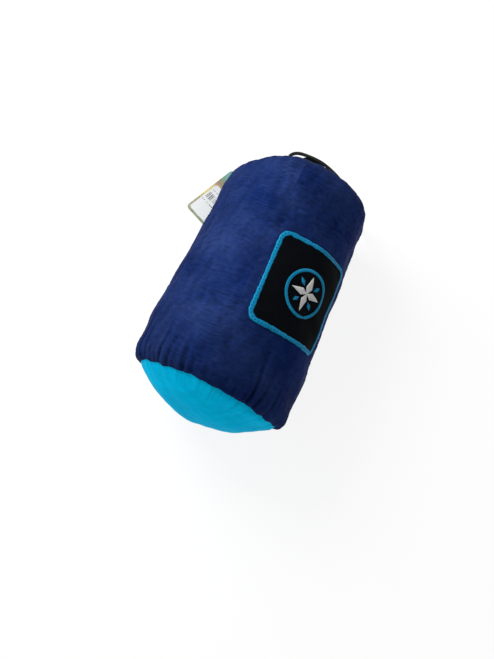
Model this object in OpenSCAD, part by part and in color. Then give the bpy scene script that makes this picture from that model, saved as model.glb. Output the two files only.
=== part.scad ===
// Camping hammock packed in its drawstring stuff sack.
// The sack lies on its side. Its long axis runs along +Y, from the bottom disc to the
// cinched mouth, and +Z is up. The origin is the middle of the flat that it lies on.
// Sizes are in millimetres.

/* [Sack] */
// Largest diameter of the stuffed sack
sack_d = 135; // [134:0.5:136]
// Length from the bottom seam to the crown round the mouth
sack_len = 200; // [198:1:204]
// Diameter of the bottom seam
seam_d = 118; // [114:1:122]
// How far the bottom disc bulges
dome_h = 22; // [16:1:26]
// How much the soft sack flattens where it lies on the floor
rest_flat = 3.5; // [3:0.5:4]
// Thickness of the fabric shells
wall = 1; // [0.8:0.1:1.2]

/* [Patch] */
// Width of the patch round the sack
patch_w = 70; // [60:1:72]
// Height of the patch along the sack
patch_h = 76; // [66:1:78]
// Turn of the patch from straight up, towards +X
patch_turn = 38; // [30:1:42]
// Lean of the patch from the sack's axis
patch_lean = 2.5; // [0:0.5:3]

/* [Hammock] */
// Diameter of the rolled hammock
roll_d = 108; // [100:1:110]
// Length of the rolled hammock
roll_len = 156; // [140:1:158]
// Turns in the roll
roll_turns = 5; // [3:1:6]

/* [Hardware] */
// Diameter of the carabiner's rod
rod_d = 7; // [6.5:0.5:7]
// Outside length of a carabiner
carabiner_len = 68; // [64:1:70]
// Outside width of a carabiner
carabiner_w = 34; // [34:0.5:35]
// Diameter of the drawcord
cord_d = 3; // [2.8:0.1:3]
// Diameter of the cord lock's barrel
lock_d = 14; // [13.8:0.1:14.4]

/* [Hidden] */

navy = [0.09, 0.16, 0.38];
cyan = [0.02, 0.62, 0.80];
border_blue = [0.05, 0.52, 0.75];
black = [0.04, 0.04, 0.05];
white = [0.92, 0.92, 0.90];

far = 400;              // longer than the whole object, for cutting tools
skin_gap = 0.1;         // between a sewn-on piece and the sack
sack_r = sack_d / 2;
seam_r = seam_d / 2;
axis_z = sack_r - rest_flat;
sack_mid = 100;         // from the bottom seam to the origin

// Outline of the sack, as [radius, distance from the bottom seam]
corner_len = 14;
barrel_end = 130;
shoulder_r = sack_r - 2.5;
shoulder_len = 22.5;
crown_r = 39;
mouth_r = 16;
mouth_depth = 12;
arc_steps = 9;

// Hem that the drawcord runs in, gathered to a ring in the mouth
hem_r = 11.7;
hem_w = 8.4;
hem_len = 9;
hem_round = 2;
hem_at = sack_len - 8.5;
hem_cord_r = 11.5;
hem_notch_low = 5.3;    // the slit that the cord leaves by starts this far above the sack's axis
cord_gap_turn = 50;     // half the angle between the cord's two ends in the hem

// Both tails of the drawcord: [x, distance from the hem, height above the sack's axis]
tail_left_route = [
    [-8.8, 0, 7.4], [-7.4, 0.3, 9.1], [-6, 1.4, 10.7], [-5, 3.1, 11.8], [-4.6, 5.3, 12.5],
    [-6.6, 10, 13], [-14, 14.2, 13.5], [-21.3, 18.9, 14], [-23.8, 25, 14.5], [-18.5, 30.2, 15.2],
    [-8, 31.3, 15.5], [5.5, 29, 14.8], [21, 23.3, 12.2], [35.5, 16.5, 6], [47, 13.7, -5],
    [54, 15.3, -19.5], [57.5, 18.1, -34], [57.5, 20.4, -45],
    [55, 21.7, -53.5], [51, 22, -57.7], [46, 22, -58.7], [38, 22, -58.7], [28, 22, -58.7], [18, 22, -58.7],
    [9, 21.8, -60.2], [0, 21, -62], [-7, 20.7, -62.4], [-13.2, 21, -61.6]
];
tail_right_route = [
    [8.8, 0, 7.4], [7.4, 0.3, 9.1], [6, 1.4, 10.7], [5, 3.1, 11.8], [4.6, 5.3, 12.5],
    [2.4, 9.8, 13], [-3.6, 13.8, 13], [-10.3, 18, 12.8], [-13, 23.6, 12.4], [-9.3, 28.6, 12],
    [1.8, 28, 11.6], [16.5, 21.9, 10], [31.5, 14.5, 4], [42.5, 12.3, -7], [50, 13.9, -20],
    [54, 17.1, -33], [54, 19.7, -42],
    [52.2, 21.4, -49.5], [49, 22, -54], [44.5, 22, -55.3], [38, 22, -55.3], [28, 22, -55.3], [18, 22, -55.3],
    [9, 22.6, -57], [0, 24.2, -60], [-7, 24.9, -62.2], [-13.2, 24.6, -61.6]
];
cord_sides = 8;
knot_r = 4;
knot_at = [-17.5, 22.8, -60];
tip_len = 11;

// Cord lock, lying on the floor with its plunger along +Y
lock_x = 38;
lock_out = 22;          // the tails' straight stretch runs this far outside the hem
lock_r = lock_d / 2;
lock_len = 19;
lock_floor = 1.8;       // thickness of the barrel's closed end
lock_hole_at = 12.5;    // from the barrel's closed end to the cord hole
lock_bore_r = 4.7;
plunger_r = 4.5;
plunger_travel = 4;
plunger_low = 8.2;
plunger_high = 24;
cord_hole_w = 7.4;
cord_hole_h = cord_d + 0.6;
lock_round = 1.2;

// Patch
patch_round = 9;
patch_border_w = 4;
patch_mid = 91;         // from the bottom seam to the patch's middle
field_t = 1;
border_t = 1.8;
thread_t = 0.6;
emblem_r = 19;          // ring that goes round the embroidered star

// Hang tag, lying on the floor beside the shoulder
tag_w = 48;
tag_l = 60;
tag_t = 0.6;
tag_round = 4;
tag_at = [-75.9, 82.6];
tag_turn = -24.5;
tag_tilt = 1.5;
tag_hole_r = 2.5;
tag_hole_at = 24;
sticker_w = 38;
sticker_l = 35;
sticker_at = [-2.5, -10];
sticker_t = 0.3;
string_d = 1.2;
// The string's loop: [x, y, height above the floor]
string_route = [
    [-6.5, 96.7, 57], [-7.6, 100, 56.2], [-10.6, 104, 52.6], [-14.5, 106.5, 44], [-19, 108, 34],
    [-25, 109, 24], [-33, 109.4, 15.5], [-42, 109.3, 9], [-50.3, 107.9, 5], [-57.5, 106.2, 3.6],
    [-62.7, 104.5, 3.3], [-65.4, 104.1, 2.7], [-66.4, 105.5, 1.3], [-65.5, 108.1, 0.8],
    [-63.4, 111.5, 0.9], [-60, 114.6, 1.6], [-55, 115.7, 3.2], [-47, 115.1, 6], [-38, 114.3, 11],
    [-29, 112.8, 18.5], [-21.5, 111, 28],
    [-16, 109.3, 38], [-11.5, 107, 46.5], [-8.5, 103.2, 51.5], [-6.8, 99.5, 53.8], [-6.5, 96.7, 54.4]
];
string_sides = 8;

// Rolled hammock and the carabiners on its ropes
roll_r = roll_d / 2;
roll_start = 3;         // from the bottom seam to the roll
roll_clear = 0.4;       // between the roll and the fabric that it lies on
roll_end = roll_start + roll_len;
core_r = 9.4;           // middle of the first turn
pitch = (roll_r - core_r) / roll_turns;
layer_gap = 0.15;
steps_per_turn = 24;

rod_r = rod_d / 2;
bow_r = (carabiner_w - rod_d) / 2;
side_len = carabiner_len - rod_d - 2 * bow_r;
carabiner_x = 18;
carabiner_y = roll_end + rod_r + 2;     // from the bottom seam to the middle of its rod
carabiner_z = 39;       // height of its middle above the floor
tongue_t = 3;
slot_t = 3.4;
pivot_drop = 2;         // the rivet sits this far above the lower bow's end
rivet_r = 1.2;
rivet_head_r = 2.1;
rivet_head_t = 0.6;
rivet_play = 0.06;
latch_r = 1;
gate_len = side_len - pivot_drop - 0.8;
gate_spring_r = 1.3;
gate_bore_r = 1.8;
spring_wire_r = 0.25;
spring_steps = 10;

gather_d = 6;
gather_r = rod_r + gather_d / 2 + 0.4;

// ---------- helpers ----------

// Stands a part that is drawn round +Z on the sack's axis, with z counted from the bottom seam
module on_axis() translate([0, -sack_mid, axis_z]) rotate([-90, 0, 0]) children();

function ellipse_arc(c, rx, ry, from, to) =
    [for (i = [0 : arc_steps]) let (a = from + (to - from) * i / arc_steps)
        [c[0] + rx * cos(a), c[1] + ry * sin(a)]];

function sack_outline(inset) = concat(
    ellipse_arc([seam_r, corner_len], sack_r - seam_r - inset, corner_len - inset,
        inset > 0 ? -75 : -90, 0),
    [[sack_r - inset, barrel_end]],
    ellipse_arc([crown_r, sack_len - shoulder_len], shoulder_r - crown_r - inset,
        shoulder_len - inset, 0, 90),
    ellipse_arc([crown_r, sack_len - mouth_depth], crown_r - mouth_r - inset,
        mouth_depth - inset, 90, 180));

module cut_at_floor(above) intersection() {
    children();
    translate([-far / 2, -far / 2, above]) cube([far, far, far]);
}

function unit(v) = v / norm(v);

function tangents(p) = [for (i = [0 : len(p) - 1])
    unit(p[min(i + 1, len(p) - 1)] - p[max(i - 1, 0)])];

// One direction square to the path at each point, carried along without twisting
function carried(ts, n, i = 0) = i == len(ts) ? [] :
    let (u = unit(n - (n * ts[i]) * ts[i])) concat([u], carried(ts, u, i + 1));

// A round tube of radius r along the points p
module tube(p, r, sides) {
    ts = tangents(p);
    ns = carried(ts, abs(ts[0][2]) < 0.9 ? [0, 0, 1] : [1, 0, 0]);
    n = len(p);
    points = [for (i = [0 : n - 1]) for (k = [0 : sides - 1])
        p[i] + r * (cos(360 * k / sides) * ns[i] + sin(360 * k / sides) * cross(ts[i], ns[i]))];
    faces = concat(
        [[for (k = [sides - 1 : -1 : 0]) k]],
        [for (i = [0 : n - 2]) for (k = [0 : sides - 1])
            let (a = i * sides + k, b = i * sides + (k + 1) % sides)
            each [[a, b, b + sides], [a, b + sides, a + sides]]],
        [[for (k = [0 : sides - 1]) (n - 1) * sides + k]]);
    polyhedron(points, [for (f = faces) [for (k = [len(f) - 1 : -1 : 0]) f[k]]]);
}

module coil_spring(r, length, turns) {
    steps = turns * spring_steps;
    tube([for (i = [0 : steps]) [r * cos(360 * i / spring_steps), r * sin(360 * i / spring_steps),
        length * i / steps]], spring_wire_r, 6);
}

module round_rect(w, h, r) {
    square([w - 2 * r, h], center = true);
    square([w, h - 2 * r], center = true);
    for (x = [-1, 1], y = [-1, 1])
        translate([x * (w / 2 - r), y * (h / 2 - r)]) circle(r, $fn = 48);
}

// ---------- sack ----------

module sack_side_panel() color(navy) difference() {
    cut_at_floor(0) on_axis() rotate_extrude($fn = 96)
        polygon(concat([[0, 0]], sack_outline(0), [[0, sack_len - mouth_depth]]));
    cut_at_floor(wall) on_axis() rotate_extrude($fn = 96)
        polygon(concat([[0, -1], [seam_r - wall, -1], [seam_r - wall, 0]], sack_outline(wall),
            [[mouth_r - skin_gap, sack_len - mouth_depth], [mouth_r - skin_gap, sack_len - mouth_depth + 1],
             [0, sack_len - mouth_depth + 1]]));
}

// Radius of the ball that a disc of radius r and rise h belongs to
function ball_r(r, h) = (r * r + h * h) / (2 * h);

module dome(r, h) intersection() {
    translate([0, 0, ball_r(r, h) - h]) sphere(ball_r(r, h), $fn = 96);
    translate([0, 0, -far]) cylinder(h = far, r = r, $fn = 96);
}

module sack_bottom_panel() color(cyan) on_axis() difference() {
    dome(seam_r, dome_h);
    dome(seam_r - wall, dome_h - wall);
}

module bottom_seam_binding() color(navy) on_axis() translate([0, 0, 0.2]) difference() {
    cylinder(h = 2.5, r = seam_r - wall - 0.2, $fn = 96);
    translate([0, 0, -1]) cylinder(h = 5, r = seam_r - 5.5, $fn = 96);
}

module mouth_hem() color(navy) on_axis() difference() {
    rotate_extrude($fn = 96) translate([hem_r, hem_at]) round_rect(hem_w, hem_len, hem_round);
    rotate_extrude($fn = 96) translate([hem_cord_r, hem_at]) circle(cord_d / 2 + 0.4, $fn = 32);
    translate([-mouth_r, -2 * mouth_r, hem_at - cord_d / 2 - 0.4])
        cube([2 * mouth_r, 2 * mouth_r - hem_notch_low, hem_len]);
}

// ---------- drawcord ----------

function from_hem(p) = [p[0], hem_at - sack_mid + p[1], axis_z + p[2]];

module drawcord_in_hem() color(black) on_axis() translate([0, 0, hem_at])
    rotate([0, 0, cord_gap_turn - 90]) rotate_extrude(angle = 360 - 2 * cord_gap_turn, $fn = 96)
        translate([hem_cord_r, 0]) circle(cord_d / 2, $fn = 32);

module drawcord_tail(route) color(black) tube([for (p = route) from_hem(p)], cord_d / 2, cord_sides);

module drawcord_end_knot() color(black) translate(from_hem(knot_at)) {
    sphere(knot_r, $fn = 48);
    for (y = [-1, 1]) translate([-knot_r + 1, y * (cord_d / 2 + 0.2), -knot_r + cord_d / 2])
        rotate([0, -90, 0]) cylinder(h = tip_len, r = cord_d / 2, $fn = 24);
}

// ---------- cord lock ----------

// Stands the cord lock's parts, drawn round +Z from the barrel's closed end
module at_lock() translate([lock_x, from_hem([0, lock_out, 0])[1] - lock_hole_at, lock_r])
    rotate([-90, 0, 0]) children();

// The hole that both tails pass through, h wide along the plunger, reaching up from the lower edge
module cord_hole(low, h) {
    r = cord_hole_h / 2;
    for (z = [low + r, low + h - r], y = [-1, 1])
        translate([-lock_d, y * (cord_hole_w / 2 - r), z]) rotate([0, 90, 0])
            cylinder(h = 2 * lock_d, r = r, $fn = 32);
    translate([-lock_d, -cord_hole_w / 2 + r, low]) cube([2 * lock_d, cord_hole_w - 2 * r, h]);
    translate([-lock_d, -cord_hole_w / 2, low + r]) cube([2 * lock_d, cord_hole_w, h - 2 * r + 0.01]);
}

module cord_lock_barrel() color(black) at_lock() difference() {
    rotate_extrude($fn = 64) {
        square([lock_r - lock_round, lock_len]);
        translate([0, lock_round]) square([lock_r, lock_len - 2 * lock_round]);
        for (z = [lock_round, lock_len - lock_round])
            translate([lock_r - lock_round, z]) circle(lock_round, $fn = 32);
    }
    translate([0, 0, lock_floor]) cylinder(h = lock_len, r = lock_bore_r, $fn = 64);
    cord_hole(lock_hole_at - cord_hole_h / 2, cord_hole_h);
}

module cord_lock_plunger() color(black) at_lock() difference() {
    rotate_extrude($fn = 64) {
        translate([0, plunger_low]) square([plunger_r, plunger_high - plunger_low - lock_round]);
        translate([0, plunger_low]) square([plunger_r - lock_round, plunger_high - plunger_low]);
        translate([plunger_r - lock_round, plunger_high - lock_round]) circle(lock_round, $fn = 32);
    }
    cord_hole(lock_hole_at - cord_hole_h / 2, cord_hole_h + plunger_travel);
}

module cord_lock_spring() color("silver") at_lock()
    translate([0, 0, lock_floor + spring_wire_r + 0.1])
        coil_spring(3.4, plunger_low - lock_floor - 2 * spring_wire_r - 0.3, 4);

// ---------- patch ----------

// Wraps a flat outline, drawn with x round the sack and y along it, as a layer of the sack's side
module on_patch(low, high) intersection() {
    on_axis() difference() {
        translate([0, 0, patch_mid - patch_h]) cylinder(h = 2 * patch_h, r = sack_r + high, $fn = 96);
        translate([0, 0, patch_mid - patch_h - 1]) cylinder(h = 2 * patch_h + 2, r = sack_r + low, $fn = 96);
    }
    translate([0, patch_mid - sack_mid, axis_z]) rotate([0, patch_turn, 0]) linear_extrude(sack_d)
        rotate(patch_lean) children();
}

module patch_field() color(black) on_patch(skin_gap, skin_gap + field_t)
    round_rect(patch_w - 2 * patch_border_w, patch_h - 2 * patch_border_w, patch_round - patch_border_w);

module patch_border() color(border_blue) on_patch(skin_gap, skin_gap + border_t) difference() {
    round_rect(patch_w, patch_h, patch_round);
    round_rect(patch_w - 2 * patch_border_w + 0.2, patch_h - 2 * patch_border_w + 0.2,
        patch_round - patch_border_w);
}

// Star with its long points along x and y
module star(points, long, short) polygon([for (i = [0 : 2 * points - 1])
    (i % 2 == 0 ? long : short) * [cos(180 * i / points), sin(180 * i / points)]]);

module patch_blue_embroidery() color(border_blue)
    on_patch(skin_gap + field_t + 0.02, skin_gap + field_t + thread_t) {
        difference() {
            circle(emblem_r, $fn = 96);
            circle(emblem_r - 2.6, $fn = 96);
        }
        for (a = [45 : 90 : 315]) rotate(a) translate([emblem_r * 0.52, 0]) star(2, 3.4, 1.7);
    }

module patch_white_embroidery() color(white)
    on_patch(skin_gap + field_t + 0.02, skin_gap + field_t + thread_t) star(4, emblem_r * 0.72, 3.4);

// ---------- hang tag ----------

// Lays a flat outline, drawn with y towards the hole, on the floor
module on_tag(above) translate([tag_at[0], tag_at[1], 0.1]) rotate([0, 0, tag_turn])
    translate([0, -tag_l / 2, 0]) rotate([tag_tilt, 0, 0]) translate([0, tag_l / 2, above]) children();

module tag_card() color("khaki") on_tag(0) linear_extrude(tag_t) difference() {
    round_rect(tag_w, tag_l, tag_round);
    translate([0, tag_hole_at]) circle(tag_hole_r, $fn = 32);
}

module tag_sticker() color(white) on_tag(tag_t) linear_extrude(sticker_t)
    translate(sticker_at) round_rect(sticker_w, sticker_l, 3);

module tag_string() color("dimgray") tube(string_route, string_d / 2, string_sides);

// ---------- hammock ----------

function spiral(r, shift) = [for (i = [0 : roll_turns * steps_per_turn])
    let (a = 360 * i / steps_per_turn, q = r + shift + pitch * i / steps_per_turn) [q * cos(a), q * sin(a)]];

function backwards(p) = [for (i = [len(p) - 1 : -1 : 0]) p[i]];

// One of the three layers that are rolled up together
module rolled_layer(k) {
    layer = pitch / 3;
    inner = core_r - pitch + k * layer;
    translate([0, roll_start - sack_mid, wall + roll_clear + roll_r]) rotate([-90, 0, 0])
        linear_extrude(roll_len) polygon(concat(spiral(inner, layer_gap), backwards(spiral(inner, layer))));
}

module hammock_side_panel_left() color(cyan) rolled_layer(0);
module hammock_side_panel_right() color(cyan) rolled_layer(1);
module hammock_main_panel() color(navy) rolled_layer(2);

module at_carabiner(side) translate([side * carabiner_x, carabiner_y - sack_mid, carabiner_z])
    mirror([side > 0 ? 1 : 0, 0, 0]) rotate([90, 0, 0]) children();

// Loop of the rope that gathers one end of the hammock, through the carabiner's upper bow
module gather_rope(side) color(black) at_carabiner(side) translate([0, side_len / 2 + bow_r, 0])
    rotate([-90, 0, 90]) {
        rotate_extrude(angle = 180, $fn = 64) translate([gather_r, 0]) circle(gather_d / 2, $fn = 32);
        for (x = [-1, 1]) translate([x * gather_r, 0, 0]) rotate([90, 0, 0])
            cylinder(h = rod_r + 1.9, r = gather_d / 2, $fn = 32);
    }

// ---------- carabiner, drawn in its own plane with the gate at -x and the pivot low ----------

pivot_y = -side_len / 2 + pivot_drop;
latch_y = side_len / 2 - 3.6;

module bow() rotate_extrude(angle = 180, $fn = 96) translate([bow_r, 0]) circle(rod_r, $fn = 32);

module carabiner_frame(side) color("silver") at_carabiner(side) difference() {
    union() {
        translate([0, side_len / 2, 0]) bow();
        translate([0, -side_len / 2, 0]) rotate([0, 0, 180]) bow();
        translate([bow_r, 0, 0]) rotate([90, 0, 0])
            cylinder(h = side_len, r = rod_r, center = true, $fn = 32);
        // tongue that the gate turns on
        translate([-bow_r, pivot_y, 0]) cylinder(h = tongue_t, r = 3, center = true, $fn = 32);
        translate([-bow_r - 3, -side_len / 2 - 3.4, -tongue_t / 2]) cube([6, 3.4 + pivot_drop, tongue_t]);
        // nose that the gate closes on
        translate([-bow_r - 2.8, latch_y - 2.4, -tongue_t / 2])
            cube([5.6, side_len / 2 + 3 - latch_y + 2.4, tongue_t]);
    }
    // the full rod stops short of the gate's round ends
    for (z = [-1, 1]) translate([-bow_r, pivot_y, z * (tongue_t / 2 + rod_r)])
        cylinder(h = 2 * rod_r, r = rod_r + 0.4, center = true, $fn = 48);
    translate([-bow_r, pivot_y, 0]) cylinder(h = far, r = rivet_r, center = true, $fn = 32);
    translate([-bow_r, latch_y, 0]) cylinder(h = far, r = latch_r + 0.3, center = true, $fn = 32);
    translate([-bow_r, latch_y - latch_r - 0.3, -rod_d]) cube([rod_d, 2 * latch_r + 0.6, 2 * rod_d]);
}

module carabiner_gate(side) color("silver") at_carabiner(side) translate([-bow_r, pivot_y, 0])
difference() {
    union() {
        translate([0, gate_len / 2, 0]) rotate([90, 0, 0])
            cylinder(h = gate_len, r = rod_r, center = true, $fn = 48);
        intersection() {
            cylinder(h = rod_d, r = rod_r, center = true, $fn = 48);
            rotate([90, 0, 0]) cylinder(h = rod_d, r = rod_r, center = true, $fn = 48);
        }
    }
    // slits that straddle the tongue and the nose
    translate([-rod_d, -rod_d, -slot_t / 2]) cube([2 * rod_d, rod_d + 3.6, slot_t]);
    translate([-rod_d, gate_len - 6.4, -slot_t / 2]) cube([2 * rod_d, rod_d, slot_t]);
    cylinder(h = far, r = rivet_r + rivet_play, center = true, $fn = 32);
    translate([0, latch_y - pivot_y, 0]) cylinder(h = far, r = latch_r, center = true, $fn = 32);
    translate([0, 14, 0]) rotate([90, 0, 0]) cylinder(h = 12, r = gate_bore_r, $fn = 32);
}

module carabiner_rivet(side) color("silver") at_carabiner(side) translate([-bow_r, pivot_y, 0]) {
    cylinder(h = rod_d + 2 * 0.1, r = rivet_r, center = true, $fn = 32);
    for (z = [-1, 1]) translate([0, 0, z * (rod_r + 0.1 + rivet_head_t / 2)])
        cylinder(h = rivet_head_t, r = rivet_head_r, center = true, $fn = 32);
}

module carabiner_latch_pin(side) color("silver") at_carabiner(side) translate([-bow_r, latch_y, 0])
    cylinder(h = 2 * sqrt(rod_r * rod_r - latch_r * latch_r), r = latch_r, center = true, $fn = 32);

module carabiner_spring(side) color("silver") at_carabiner(side)
    translate([-bow_r, pivot_y + 3.6 + 2 * spring_wire_r, 0]) rotate([-90, 0, 0])
        coil_spring(gate_spring_r, 9.4, 7);

// ---------- nodes ----------

sack_side_panel();
sack_bottom_panel();
bottom_seam_binding();
mouth_hem();
drawcord_in_hem();
drawcord_tail(tail_left_route);  // drawcord_tail_left
drawcord_tail(tail_right_route);  // drawcord_tail_right
drawcord_end_knot();
cord_lock_barrel();
cord_lock_plunger();
cord_lock_spring();
patch_field();
patch_border();
patch_blue_embroidery();
patch_white_embroidery();
tag_card();
tag_sticker();
tag_string();
hammock_main_panel();
hammock_side_panel_left();
hammock_side_panel_right();
gather_rope(-1);  // gather_rope_left
gather_rope(1);  // gather_rope_right
carabiner_frame(-1);  // carabiner_left_frame
carabiner_gate(-1);  // carabiner_left_gate
carabiner_rivet(-1);  // carabiner_left_rivet
carabiner_latch_pin(-1);  // carabiner_left_latch_pin
carabiner_spring(-1);  // carabiner_left_spring
carabiner_frame(1);  // carabiner_right_frame
carabiner_gate(1);  // carabiner_right_gate
carabiner_rivet(1);  // carabiner_right_rivet
carabiner_latch_pin(1);  // carabiner_right_latch_pin
carabiner_spring(1);  // carabiner_right_spring
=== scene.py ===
"""Camping hammock packed in its drawstring stuff sack: the looks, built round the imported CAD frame.

An angle round the sack is counted from straight up, towards +X.
"""
import math

import bpy
import numpy as np
from mathutils import Matrix, Vector


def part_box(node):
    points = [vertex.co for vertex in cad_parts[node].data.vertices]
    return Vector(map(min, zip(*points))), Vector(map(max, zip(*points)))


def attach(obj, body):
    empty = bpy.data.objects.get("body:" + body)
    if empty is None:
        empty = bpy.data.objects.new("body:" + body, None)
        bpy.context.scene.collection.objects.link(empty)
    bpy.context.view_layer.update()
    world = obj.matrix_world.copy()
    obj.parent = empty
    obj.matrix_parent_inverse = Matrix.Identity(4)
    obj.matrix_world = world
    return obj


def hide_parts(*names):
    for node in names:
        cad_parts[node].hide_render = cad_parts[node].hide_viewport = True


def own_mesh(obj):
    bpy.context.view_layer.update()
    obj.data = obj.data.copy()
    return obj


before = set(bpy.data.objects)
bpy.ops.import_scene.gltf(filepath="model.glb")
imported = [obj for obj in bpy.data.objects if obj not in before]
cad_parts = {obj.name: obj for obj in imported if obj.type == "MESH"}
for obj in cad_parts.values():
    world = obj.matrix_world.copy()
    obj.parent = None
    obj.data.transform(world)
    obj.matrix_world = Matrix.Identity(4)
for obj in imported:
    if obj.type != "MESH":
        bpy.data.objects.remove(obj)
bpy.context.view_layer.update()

MM = 0.001
UV_MM = 100.0           # millimetres of cloth to one unit of a cloth's UV map


def box_mm(node):
    low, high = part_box(node)
    return np.array(low) / MM, np.array(high) / MM


# ---------- sizes, from the frame ----------

side_low, side_high = box_mm("sack_side_panel")
dome_low, dome_high = box_mm("sack_bottom_panel")
hem_low, hem_high = box_mm("mouth_hem")
SACK_R = (side_high[0] - side_low[0]) / 2
AXIS_Z = side_high[2] - SACK_R
SEAM_Y = side_low[1]
SACK_LEN = side_high[1] - side_low[1]
SEAM_R = (dome_high[0] - dome_low[0]) / 2
DOME_H = SEAM_Y - dome_low[1]
GIRTH = 2 * math.pi * SACK_R

# The sack's outline, as distances from the bottom seam and from the axis
CORNER_LEN = 14
TAPER_FROM, TAPER = 110, 2.5
SHOULDER_LEN = 22.5
CROWN_R = 39
MOUTH_R, MOUTH_DEPTH = 16, 12
SHOULDER_AT = SACK_LEN - SHOULDER_LEN

PATCH_TURN = math.radians(38)
PATCH_LEAN = math.radians(2.5)
PATCH_MID = 91
PATCH_W, PATCH_H, PATCH_ROUND, PATCH_BORDER = 74, 76, 9, 4

CORD_R, STRING_R = 1.5, 0.6
STITCH = 0.45           # from one embroidery thread to the next
WEAVE_PITCH = 0.42


# ---------- small helpers ----------

def smooth(t):
    t = np.clip(t, 0, 1)
    return t * t * (3 - 2 * t)


def unit(vectors):
    return vectors / np.linalg.norm(vectors, axis=1)[:, None]


def shorter_way(x):
    """A distance round the sack, taken the shorter way."""
    return (x + GIRTH / 2) % GIRTH - GIRTH / 2


def columns(count):
    """Even places round the sack, in millimetres and as angles."""
    x = np.arange(count) * GIRTH / count
    return x, x / GIRTH * 2 * math.pi


def run_along(path):
    """How far along the path each of its points lies."""
    return np.concatenate([[0], np.cumsum(np.linalg.norm(np.diff(path, axis=0), axis=1))])


def path_length(path):
    return float(np.linalg.norm(np.diff(path, axis=0), axis=1).sum())


def ripple(x, y, seed, count, length_x, length_y, period=GIRTH):
    """Random smooth waves of about these lengths with a spread of 1, which repeat once per period in x."""
    draw = np.random.default_rng(seed)
    total = np.zeros(np.broadcast(x, y).shape)
    for _ in range(count):
        turns = max(1, round(period / (length_x * draw.uniform(0.6, 1.8))))
        kx = draw.choice([-1, 1]) * turns * 2 * math.pi / period
        ky = 2 * math.pi / (length_y * draw.uniform(0.6, 1.8))
        total += np.cos(kx * x + ky * y + draw.uniform(0, 2 * math.pi))
    return total * math.sqrt(2 / count)


def resample(points, step):
    """The same path with points an even step apart."""
    points = np.asarray(points, float)
    run = run_along(points)
    at = np.linspace(0, run[-1], max(2, round(run[-1] / step) + 1))
    return np.column_stack([np.interp(at, run, c) for c in points.T]), at


def spline(points, step):
    """A smooth path through the points (Catmull-Rom), with points about a step apart."""
    p = np.asarray(points, float)
    p = np.vstack([2 * p[0] - p[1], p, 2 * p[-1] - p[-2]])
    t = np.linspace(0, 1, 24, endpoint=False)[:, None]
    rows = []
    for a, b, c, d in zip(p[:-3], p[1:-2], p[2:-1], p[3:]):
        rows.append(0.5 * (2 * b + (c - a) * t + (2 * a - 5 * b + 4 * c - d) * t**2
                           + (3 * b - a - 3 * c + d) * t**3))
    return resample(np.vstack(rows + [p[-2:-1]]), step)[0]


def add_object(name, data):
    obj = bpy.data.objects.new(name, data)
    bpy.context.scene.collection.objects.link(obj)
    return obj


def new_piece(name, verts, faces, uv, material, body="root"):
    """A mesh object from points in millimetres. uv has one pair for each corner of each face."""
    mesh = bpy.data.meshes.new(name)
    mesh.from_pydata((np.asarray(verts, float).reshape(-1, 3) * MM).tolist(), [], [list(f) for f in faces])
    layer = mesh.uv_layers.new(name="cloth")
    layer.data.foreach_set("uv", np.asarray(uv, np.float32).ravel() / UV_MM)
    mesh.polygons.foreach_set("use_smooth", [True] * len(mesh.polygons))
    mesh.update()
    mesh.materials.append(material)
    obj = add_object(name, mesh)
    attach(obj, body)
    return obj


def soften(height, across, along):
    """A map of heights smoothed over this many columns, which run round, and rows."""
    weights = [np.exp(-np.linspace(-2, 2, 2 * n + 1) ** 2) for n in (across, along)]
    height = sum(w * np.roll(height, k - across, 1) for k, w in enumerate(weights[0])) / weights[0].sum()
    padded = np.pad(height, ((along, along), (0, 0)), mode="edge")
    return sum(w * padded[k:k + len(height)] for k, w in enumerate(weights[1])) / weights[1].sum()


def shade_points(piece, attribute, tone):
    """Writes a tone for each of the piece's first points into a colour attribute. The others get 1."""
    tone = np.concatenate([tone.ravel(), np.ones(len(piece.data.vertices) - tone.size)])
    layer = piece.data.color_attributes.new(attribute, "FLOAT_COLOR", "POINT")
    layer.data.foreach_set("color", np.repeat(tone[:, None], 4, 1).astype(np.float32).ravel())


def shade_folds(piece, height, across, along, amount, tone=1.0):
    """Paints shade into the valleys of a map of heights and a highlight onto its ridges, times tone, as a
    colour attribute.
    """
    relief = height - soften(height, across, along)
    shade_points(piece, "fold", tone * (1 + np.clip(relief * amount, -0.6, 0.22)))


def grid_faces(rows, cols, wrap_cols=True, wrap_rows=False, flip=False):
    """Quads of a grid whose point (row, col) is number row * cols + col."""
    r = np.arange(rows if wrap_rows else rows - 1)
    c = np.arange(cols if wrap_cols else cols - 1)
    r, c = np.meshgrid(r, c, indexing="ij")
    r2, c2 = (r + 1) % rows, (c + 1) % cols
    quads = np.stack([r * cols + c, r * cols + c2, r2 * cols + c2, r2 * cols + c], -1).reshape(-1, 4)
    return quads[:, ::-1] if flip else quads


def grid_uv(x, y, wrap_cols=True, wrap_rows=False, flip=False, x_period=0, y_period=0):
    """Corner UVs for grid_faces, from each column's x and each row's y."""
    x, y = np.asarray(x, float), np.asarray(y, float)
    x = np.append(x, x[0] + x_period) if wrap_cols else x
    y = np.append(y, y[0] + y_period) if wrap_rows else y
    r, c = np.meshgrid(np.arange(len(y) - 1), np.arange(len(x) - 1), indexing="ij")
    u = np.stack([x[c], x[c + 1], x[c + 1], x[c]], -1).reshape(-1, 4)
    v = np.stack([y[r], y[r], y[r + 1], y[r + 1]], -1).reshape(-1, 4)
    uv = np.stack([u, v], -1)
    return uv[:, ::-1] if flip else uv


def fan(middle, first, count, flip=False):
    """Triangles between a middle point and the ring of points that starts at this number."""
    edges = [(first + k, first + (k + 1) % count) for k in range(count)]
    return [[middle, b, a] if flip else [middle, a, b] for a, b in edges]


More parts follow.
